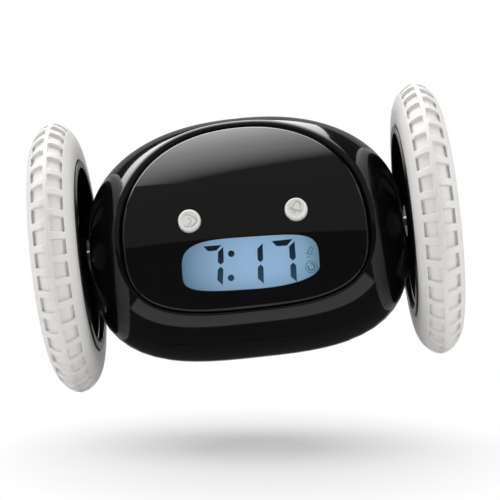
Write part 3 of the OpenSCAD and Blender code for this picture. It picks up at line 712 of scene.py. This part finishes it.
# Light that a surface gives off in its own colour, which changes along an axis between two places
def glowing(name, rough, strength, axis, places, stops):
    material, tree, shader = newMaterial(name, Roughness=rough)
    split = tree.nodes.new("ShaderNodeSeparateXYZ")
    tree.links.new(objectPlace(tree), split.inputs["Vector"])
    along = spread(tree, split.outputs[axis], 0, 1, places[0] * mm, places[1] * mm)
    colour = ramp(tree, along, stops)
    tree.links.new(colour, shader.inputs["Base Color"])
    tree.links.new(colour, shader.inputs["Emission Color"])
    shader.inputs["Emission Strength"].default_value = strength
    return material


# Steel blue in the middle and duller towards both ends, most at the left
displayLight = {"name": "displayGlow", "rough": 0.4, "strength": 0.86, "axis": "X", "places": (-22, 22),
                "stops": [(0, (0.11, 0.18, 0.24)), (0.09, (0.152, 0.238, 0.319)),
                          (0.28, (0.24, 0.35, 0.47)), (0.5, (0.277, 0.398, 0.539)),
                          (0.75, (0.265, 0.385, 0.52)), (0.9, (0.22, 0.335, 0.43)),
                          (1, (0.15, 0.24, 0.31))]}
# From teal at the foot of the numerals to navy at their tops
strokeLight = {"name": "segments", "rough": 0.35, "strength": 0.4, "axis": "Z", "places": (30, 43),
               "stops": [(0, (0.03, 0.1, 0.15)), (0.45, (0.012, 0.04, 0.08)), (1, (0.005, 0.012, 0.03))]}

# Strokes of the numerals, the colon's dots and the two small signs beside them, in the window's frame
strokes = [
    [(-14.42, 7.97), (-8.58, 8.04), (-10.48, 6.38), (-12.98, 6.4)],
    [(-8.19, 7.44), (-8.33, 2.73), (-9.28, 1.97), (-10.16, 2.75), (-9.95, 5.9)],
    [(-9.35, 1.37), (-8.6, 0.45), (-9.1, -4.45), (-10.75, -2.7), (-10.3, 0.5)],
    [(4.09, 7.77), (3.93, 2.7), (3.09, 1.87), (2.2, 2.75), (2.35, 6.1)],
    [(3.04, 1.23), (3.86, 0.3), (3.65, -4.85), (1.9, -3.05), (2.12, 0.35)],
    [(6.91, 8.22), (13.49, 8.43), (11.58, 6.5), (8.37, 6.5)],
    [(14.02, 7.75), (14.1, 2.56), (13.15, 1.73), (12.2, 2.65), (12.2, 6.1)],
    [(13.15, 1.16), (14.02, 0.25), (13.96, -4.93), (12.15, -3.2), (12.2, 0.3)],
]
dots = {"at": ((-5.85, 5.14), (-6.42, -2.36)), "radius": 1.02, "sweep": (0, 345)}
marks = {"proud": 0.05, "thick": 0.04, "arcStep": 12, "fewestSteps": 6}
signs = {"halves": (0.08, 0.15), "rings": (((18.7, -0.6), 1.78, 0, 360), ((18.7, -0.6), 1.02, -200, 100)),
         "bell": [(17.45, 3.75), (18.1, 4.1), (18.35, 4.95), (18.85, 5.6), (19.4, 5.35), (19.35, 4.6),
                  (19.0, 3.85), (19.3, 3.1), (17.45, 3.75)],
         "clapper": [(17.75, 2.75), (18.15, 2.3), (18.45, 2.6)]}


# Outline of a line of even width through points
def ribbon(points, half):
    left, back = [], []
    for i, (x, z) in enumerate(points):
        a, b = points[max(0, i - 1)], points[min(len(points) - 1, i + 1)]
        length = math.dist(a, b) or 1
        nx, nz = -(b[1] - a[1]) / length * half, (b[0] - a[0]) / length * half
        left.append((x + nx, z + nz))
        back.append((x - nx, z - nz))
    return left, back


# Points along an arc between two angles in degrees
def arc(centre, radius, start, stop):
    steps = max(marks["fewestSteps"], round(abs(stop - start) / marks["arcStep"]))
    turns = [deg(start + (stop - start) * k / steps) for k in range(steps + 1)]
    across, up = centre
    return [(across + radius * math.cos(turn), up + radius * math.sin(turn)) for turn in turns]


# Thin raised shape on the display cell, from outlines in the window's frame
def displayMarks():
    polygons = list(strokes)
    for centre in dots["at"]:
        polygons.append(arc(centre, dots["radius"], *dots["sweep"]))
    lines = [(arc(*ring), half) for ring, half in zip(signs["rings"], signs["halves"])]
    lines += [(signs[key], signs["halves"][0]) for key in ("bell", "clapper")]
    for line, half in lines:
        left, back = ribbon(line, half)
        for i in range(len(line) - 1):
            polygons.append([left[i], left[i + 1], back[i + 1], back[i]])
    shape = bmesh.new()
    front = window["glassY"] - marks["proud"]
    for polygon in polygons:
        places = [windowPoint(*point) for point in polygon]
        row = [shape.verts.new(world(Vector((x, front, z)))) for x, z in places]
        pushedOut(shape, [shape.faces.new(row)], (0, marks["thick"] * mm, 0))
    bmesh.ops.recalc_face_normals(shape, faces=shape.faces)
    return addPiece("displayMarks", shape, "lcd_glass", "housing", material=glowing(**strokeLight))


displayLens()
displayMarks()
looks["lcd_glass"] = glowing(**displayLight)
print("display built")


# Tyres

tyre = {"x": 59.2, "half": 7.1, "bore": 31.5, "boreEdge": 0.5, "side": 35.8, "crown": 8.7,
        "squareness": 1.82, "across": (-7.04, -6.86, -6.55, -6.1, -5.5, -4.95, -4.2, -3.5, -2.2, -1.5, -0.75),
        "seat": (2.6, 33.1), "pitches": 38, "cuts": (-3.15, -1.587, 1.587, 3.15), "pocket": (0.75, 4.95),
        "pocketDepth": 1.3, "pocketLean": 0.2, "soft": 0.32, "softSteps": 2, "softAngle": 45,
        "softFrom": 36, "smoothAngle": 50}


def crownAt(u):
    n = tyre["squareness"]
    return tyre["side"] + tyre["crown"] * max(0, 1 - (abs(u) / tyre["half"]) ** n) ** (1 / n)


def tyreProfile():
    half, bore, edge = tyre["half"], tyre["bore"], tyre["boreEdge"]
    rising = [(bore + edge, -half), (tyre["side"] - 1, -half), (tyre["side"], -half)]
    crown = [(crownAt(u), u) for u in tyre["across"]]
    crown += [(crownAt(0), 0)] + [(r, -u) for r, u in reversed(crown)]
    falling = [(r, -u) for r, u in reversed(rising)]
    seatU, seatR = tyre["seat"]
    inside = [(bore, half - edge), (bore, seatU), (seatR, seatU)]
    inside += [(r, -u) for r, u in reversed(inside)]
    return rising + crown + falling + inside


# Ring with two rows of square pockets, one row half a pitch on from the other
def buildTyre(side, word):
    profile = tyreProfile()
    pitch = 360 / tyre["pitches"]
    angles = [pitch * k + cut for k in range(tyre["pitches"]) for cut in tyre["cuts"]]
    loops = []
    for angle in angles:
        turn = deg(angle)
        points = [Vector((side * (tyre["x"] + u), -r * math.sin(turn), r * math.cos(turn)))
                  for r, u in profile]
        loops.append(([world(point) for point in points], None, None))
    shape = sweepLoops(loops, cyclic=True)
    low, high = tyre["pocket"]
    pockets = []
    for part in shape.faces:
        middle = (part.calc_center_median() - axle) / mm
        u = side * middle.x - tyre["x"]
        if not low < abs(u) < high or math.hypot(middle.y, middle.z) < tyre["side"]:
            continue
        around = math.degrees(math.atan2(-middle.y, middle.z))
        if u > 0:
            around -= pitch / 2
        if abs(math.remainder(around, pitch)) < tyre["cuts"][3]:
            pockets.append(part)
    made = bmesh.ops.extrude_face_region(shape, geom=pockets)["geom"]
    bmesh.ops.delete(shape, geom=[part for part in pockets if part.is_valid],
                     context="FACES_KEEP_BOUNDARY")
    floors = {part for part in made if isinstance(part, bmesh.types.BMFace)}
    for vertex in {vertex for part in floors for vertex in part.verts}:
        offset = vertex.co - axle
        u = side * offset.x - tyre["x"] * mm
        radial = Vector((0, offset.y, offset.z)).normalized()
        lean = Vector((math.copysign(tyre["pocketLean"], side * u), 0, 0))
        vertex.co -= (radial + lean) * tyre["pocketDepth"] * mm
    bmesh.ops.recalc_face_normals(shape, faces=shape.faces)
    edges = []
    for edge in shape.edges:
        if len(edge.link_faces) == 2 and edge.calc_face_angle() > deg(tyre["softAngle"]):
            middle = (edge.verts[0].co + edge.verts[1].co) / 2 - axle
            if math.hypot(middle.y, middle.z) > tyre["softFrom"] * mm:
                edges.append(edge)
    bmesh.ops.bevel(shape, geom=edges, offset=tyre["soft"] * mm, offset_type="OFFSET",
                    segments=tyre["softSteps"], profile=0.5, affect="EDGES", clamp_overlap=True, material=-1)
    piece = addPiece(word + "Tyre", shape, "tyre_white", word + "_wheel", "tyre_" + word)
    return smoothed(piece, tyre["smoothAngle"])


for side, word in sides:
    buildTyre(side, word)
print("tyres built")


# Hubs and caps: merged copies of the CAD with their edges broken

softening = {"hub": 0.18, "cap": 0.1, "segments": 2, "flatAngle": 1.0, "edgeAngle": 32, "smoothAngle": 38}


def softenedCopy(node, body, slotName, width):
    shape = mergedCopy(node)
    bmesh.ops.dissolve_limit(shape, angle_limit=deg(softening["flatAngle"]), verts=shape.verts,
                             edges=shape.edges)
    piece = addPiece(node + "_soft", shape, slotName, body, node)
    bevel = piece.modifiers.new("edges", "BEVEL")
    bevel.width = width * mm
    bevel.segments = softening["segments"]
    bevel.limit_method = "ANGLE"
    bevel.angle_limit = deg(softening["edgeAngle"])
    bevel.use_clamp_overlap = True
    return smoothed(piece, softening["smoothAngle"])


for side, word in sides:
    softenedCopy("wheel_hub_" + word, word + "_wheel", "hub_black", softening["hub"])
    softenedCopy("hub_cap_" + word, word + "_wheel", "hub_black", softening["cap"])

# Flat lip of each hub rim, proud of the tyre on the side that faces the housing
lip = {"profile": [(29.4, -5.8), (29.0, -6.2), (29.0, -7.47), (29.04, -7.56), (29.13, -7.6), (31.17, -7.6),
                   (31.26, -7.56), (31.3, -7.47), (31.3, -6.4), (29.4, -5.8)],
       "segments": 160, "smoothAngle": 40}
for side, word in sides:
    middle = Vector((side * tyre["x"], 0, 0))
    shape = turned(lip["profile"], world(middle), (side, 0, 0), lip["segments"])
    smoothed(addPiece(word + "HubLip", shape, "hub_black", word + "_wheel"), lip["smoothAngle"])
print("hubs built")


# Eye buttons

button = {"profile": [(0, -4.05), (1.3, -4.05), (1.3, -3.5), (4.5, -3.5), (4.5, -2.7), (3.55, -2.7),
                      (3.52, 0.2), (3.42, 1.2), (3.36, 1.5), (3.22, 1.74), (3.02, 1.87), (2.82, 1.86),
                      (2.68, 1.76), (2.6, 1.6), (2.5, 1.54), (1.2, 1.58), (0, 1.6)],
          "segments": 72, "smoothAngle": 30, "line": 0.12, "height": 0.07, "face": 1.57,
          "markScale": 1.2, "markDrop": 0.2}
markLines = {
    "time": [[(-0.95, 1.65), (-0.2, 1.55), (0.55, 1.2), (1.25, 0.7), (1.85, 0.1), (1.95, -0.35),
              (1.5, -0.85), (0.8, -1.3), (0, -1.55), (-0.8, -1.55), (-1.6, -1.2)],
             [(-0.3, 0.75), (0.35, 0.3), (0.5, -0.3), (0.1, -0.8), (-0.6, -0.95)]],
    "alarm": [[(-1.5, 0.42), (-0.75, 0.75), (-0.35, 1.45), (0.25, 2.0), (0.95, 1.8), (1.25, 1.15),
               (1.1, 0.3), (1.38, -0.68), (-1.5, 0.42)],
              [(-1.3, 0.02), (1.15, -0.92)],
              [(-0.55, -0.45), (-0.75, -0.85), (-0.35, -1.05), (-0.1, -0.68)]],
}


# Raised lines of even width through points, on an eye button's face
def markPiece(name, side, lines, body):
    shape = bmesh.new()
    origin = eyeAt(side) + eyeOut * button["face"]
    scale, drop = button["markScale"], button["markDrop"]

    def corner(x, z):
        return shape.verts.new(world(origin + Vector((x, 0, 0)) + eyeUp * z))

    for line in lines:
        rows = ribbon([(x * scale, z * scale - drop) for x, z in line], button["line"])
        left, back = [[corner(*point) for point in row] for row in rows]
        strip = [shape.faces.new((left[i], left[i + 1], back[i + 1], back[i]))
                 for i in range(len(line) - 1)]
        pushedOut(shape, strip, eyeOut * button["height"] * mm)
    bmesh.ops.recalc_face_normals(shape, faces=shape.faces)
    addPiece(name, shape, "button_white", body, material=markInk)


markInk = surface("markInk", (0.42, 0.42, 0.4), rough=0.4, depth=0)
for side, word in ((-1, "time"), (1, "alarm")):
    shape = turned(button["profile"], world(eyeAt(side)), eyeOut, button["segments"])
    piece = addPiece(word + "Button", shape, "button_white", word + "_button", word + "_button")
    smoothed(piece, button["smoothAngle"])
    markPiece(word + "Mark", side, markLines[word], word + "_button")
print("eye buttons built")


# The rest of the housing: merged copies with the barrel's own normals

plain = {"rear_shell": "body_gloss", "bottom_tray": "base_gloss", "battery_door": "base_gloss"}
for node, slotName in plain.items():
    piece = addPiece(node + "_smooth", mergedCopy(node), slotName, "housing", node)
    surfaceNormals(piece.data, nearBarrel)
piece = addPiece("snoozeBar", mergedCopy("snooze_button"), "button_white", "snooze_button", "snooze_button")
surfaceNormals(piece.data, nearBarrel, reach=10, limit=30)
for item in frame["record"]["subparts"]:
    node = nodes[item["node"]]
    if item["material_slot"] in looks:
        node.data.materials.clear()
        node.data.materials.append(looks[item["material_slot"]])
print("CAD nodes painted")


# Camera, as fitted to the photograph

camera = {"at": (8.44, -522.66, 0.0), "yaw": deg(0.8651), "pitch": deg(-0.4421), "roll": deg(6.2197),
          "lens": 114.3, "sensor": 36}
turn = (Matrix.Rotation(camera["yaw"], 4, "Z") @ Matrix.Rotation(camera["pitch"], 4, "X")
        @ Matrix.Rotation(camera["roll"], 4, "Y"))
lens = bpy.data.cameras.new("camera")
lens.lens = camera["lens"]
lens.sensor_width = camera["sensor"]
viewer = bpy.data.objects.new("camera", lens)
bpy.context.collection.objects.link(viewer)
forward = Matrix.Rotation(deg(90), 4, "X")
viewer.matrix_world = Matrix.Translation(world(Vector(camera["at"]))) @ turn @ forward
bpy.context.scene.camera = viewer
print("camera set")


# Light. Places are in metres from the middle of the axles, and a lamp that leans has its own turned as the
# camera is. A lamp that lights nothing is only mirrored, and one that doesn't shine is never mirrored
lamps = {
    "overhead": {"at": (0, -0.023, 0.7295), "aim": (0.32, -0.523, -0.1365), "size": (1.0, 1.13),
                 "power": 8.5, "spreadAngle": 115, "lights": False},
    "leftSide": {"at": (-0.6, -0.17, 0.19), "aim": (0, -0.02, 0), "size": (0.3, 0.5), "power": 1.5},
    "rightSide": {"at": (0.6, -0.17, 0.19), "aim": (0, -0.02, 0), "size": (0.3, 0.5), "power": 1.5},
    "topFill": {"at": (0, 0.08, 0.72), "aim": (0, -0.01, 0), "size": (1.2, 0.5), "power": 5.1,
                "shines": False},
    "backdropGlow": {"at": (0, 0.8, 0.1), "aim": (0, 0, 0), "size": (1.4, 0.8), "power": 0.8,
                     "lights": False},
    "frontPanel": {"at": (0, -0.682, 0.731), "aim": (0, 0, 0), "size": (2.6, 1.5), "power": 2.3,
                   "lights": False, "leans": True},
    "lowStrip": {"at": (0, -0.0455, -0.064), "aim": (0, -0.04, 0), "size": (0.19, 0.029),
                 "power": 0.0122, "lights": False},
}


def areaLight(name, at, aim, size, power, spreadAngle=180, shines=True, lights=True, leans=False):
    lamp = bpy.data.lights.new(name, "AREA")
    lamp.shape = "RECTANGLE"
    lamp.size, lamp.size_y = size
    lamp.energy = power
    lamp.spread = deg(spreadAngle)
    holder = bpy.data.objects.new(name, lamp)
    bpy.context.collection.objects.link(holder)
    holder.visible_camera = False
    holder.visible_glossy = shines
    holder.visible_diffuse = lights
    frameTurn = turn.to_3x3() if leans else Matrix.Identity(3)
    holder.location = axle + frameTurn @ Vector(at)
    aimed = (Vector(aim) - Vector(at)).to_track_quat("-Z", "Y").to_matrix()
    holder.rotation_euler = (frameTurn @ aimed).to_euler()


for name, settings in lamps.items():
    areaLight(name, **settings)

# Colour and strength of the sky: white to the camera, dark in the gloss, and a soft fill for the rest
skyLight = {"camera": ((1, 1, 1), 1), "gloss": ((1, 1, 1), 0.04), "rest": ((0.96, 0.98, 1), 0.52)}
scene = bpy.context.scene
scene.view_settings.view_transform = "Standard"
sky = bpy.data.worlds.new("studio")
sky.use_nodes = True
scene.world = sky
tree = sky.node_tree
tree.nodes.clear()
path = tree.nodes.new("ShaderNodeLightPath")
output = tree.nodes.new("ShaderNodeOutputWorld")


def background(colour, strength):
    node = tree.nodes.new("ShaderNodeBackground")
    node.inputs["Color"].default_value = (*colour, 1)
    node.inputs["Strength"].default_value = strength
    return node.outputs["Background"]


# One shader where the factor is 0 and another where it is 1
def choose(nodeTree, factor, otherwise, chosen):
    node = nodeTree.nodes.new("ShaderNodeMixShader")
    nodeTree.links.new(factor, node.inputs["Fac"])
    nodeTree.links.new(otherwise, node.inputs[1])
    nodeTree.links.new(chosen, node.inputs[2])
    return node.outputs["Shader"]


rest, gloss, plainWhite = [background(*skyLight[key]) for key in ("rest", "gloss", "camera")]
unseen = choose(tree, path.outputs["Is Glossy Ray"], rest, gloss)
wholeSky = choose(tree, path.outputs["Is Camera Ray"], unseen, plainWhite)
tree.links.new(wholeSky, output.inputs["Surface"])
print("lamps and sky set")


# Floor. It lies level in the photograph, some way below the tyres, and is plain white away from the shadow.
# Round the object an ellipse of slightly grey ground shows the real cast shadow, and the ellipse's fading
# edge is painted shadow that shapes the shadow's soft outline
# centre, reach and fade place the ellipse and soften its painted shadow edge; colour and glow set how grey
# the ground inside it is
stage = {"drop": 0.0225, "size": 4, "colour": (0.24, 0.24, 0.24, 1), "bounce": (0.9, 0.9, 0.9, 1),
         "glow": 0.45, "centre": (-0.004, 0.02, 0), "reach": (12.3, 8, 1), "fade": (0.2, 1.05)}
floorMesh = bpy.data.meshes.new("floor")
floorShape = bmesh.new()
bmesh.ops.create_grid(floorShape, x_segments=1, y_segments=1, size=stage["size"])
floorShape.to_mesh(floorMesh)
floorShape.free()
floor = bpy.data.objects.new("floor", floorMesh)
bpy.context.collection.objects.link(floor)
floor.rotation_euler = turn.to_euler()
floor.location = axle - turn.to_3x3() @ Vector((0, 0, 1)) * (axle.z + stage["drop"])
floor.visible_glossy = False
white, whiteTree, whiteShader = newMaterial("floorWhite", Roughness=1.0)
whiteShader.inputs["Base Color"].default_value = stage["colour"]
whiteShader.inputs["Specular IOR Level"].default_value = 0.0
place = whiteTree.nodes.new("ShaderNodeTexCoord")
offset = whiteTree.nodes.new("ShaderNodeMapping")
offset.vector_type = "POINT"
offset.inputs["Location"].default_value = [c * s for c, s in zip(stage["centre"], stage["reach"])]
offset.inputs["Scale"].default_value = stage["reach"]
whiteTree.links.new(place.outputs["Object"], offset.inputs["Vector"])
length = whiteTree.nodes.new("ShaderNodeVectorMath")
length.operation = "LENGTH"
whiteTree.links.new(offset.outputs["Vector"], length.inputs[0])
# Painted shadow edge: 0 inside the grey ellipse round the object, where the real shadow shows, rising to 1
# where the floor is plain white
paintedShadowFade = spread(whiteTree, length.outputs["Value"], 0, 1, *stage["fade"])
seen = whiteTree.nodes.new("ShaderNodeLightPath")


def glow(strength):
    node = whiteTree.nodes.new("ShaderNodeEmission")
    node.inputs["Strength"].default_value = strength
    return node.outputs["Emission"]


bounce = whiteTree.nodes.new("ShaderNodeBsdfDiffuse")
bounce.inputs["Color"].default_value = stage["bounce"]
near = whiteTree.nodes.new("ShaderNodeAddShader")
whiteTree.links.new(whiteShader.outputs["BSDF"], near.inputs[0])
whiteTree.links.new(glow(stage["glow"]), near.inputs[1])
shown = choose(whiteTree, paintedShadowFade, near.outputs["Shader"], glow(1.0))
whiteTree.links.new(choose(whiteTree, seen.outputs["Is Camera Ray"], bounce.outputs["BSDF"], shown),
                    whiteTree.nodes["Material Output"].inputs["Surface"])
floorMesh.materials.append(white)
print("stage set")
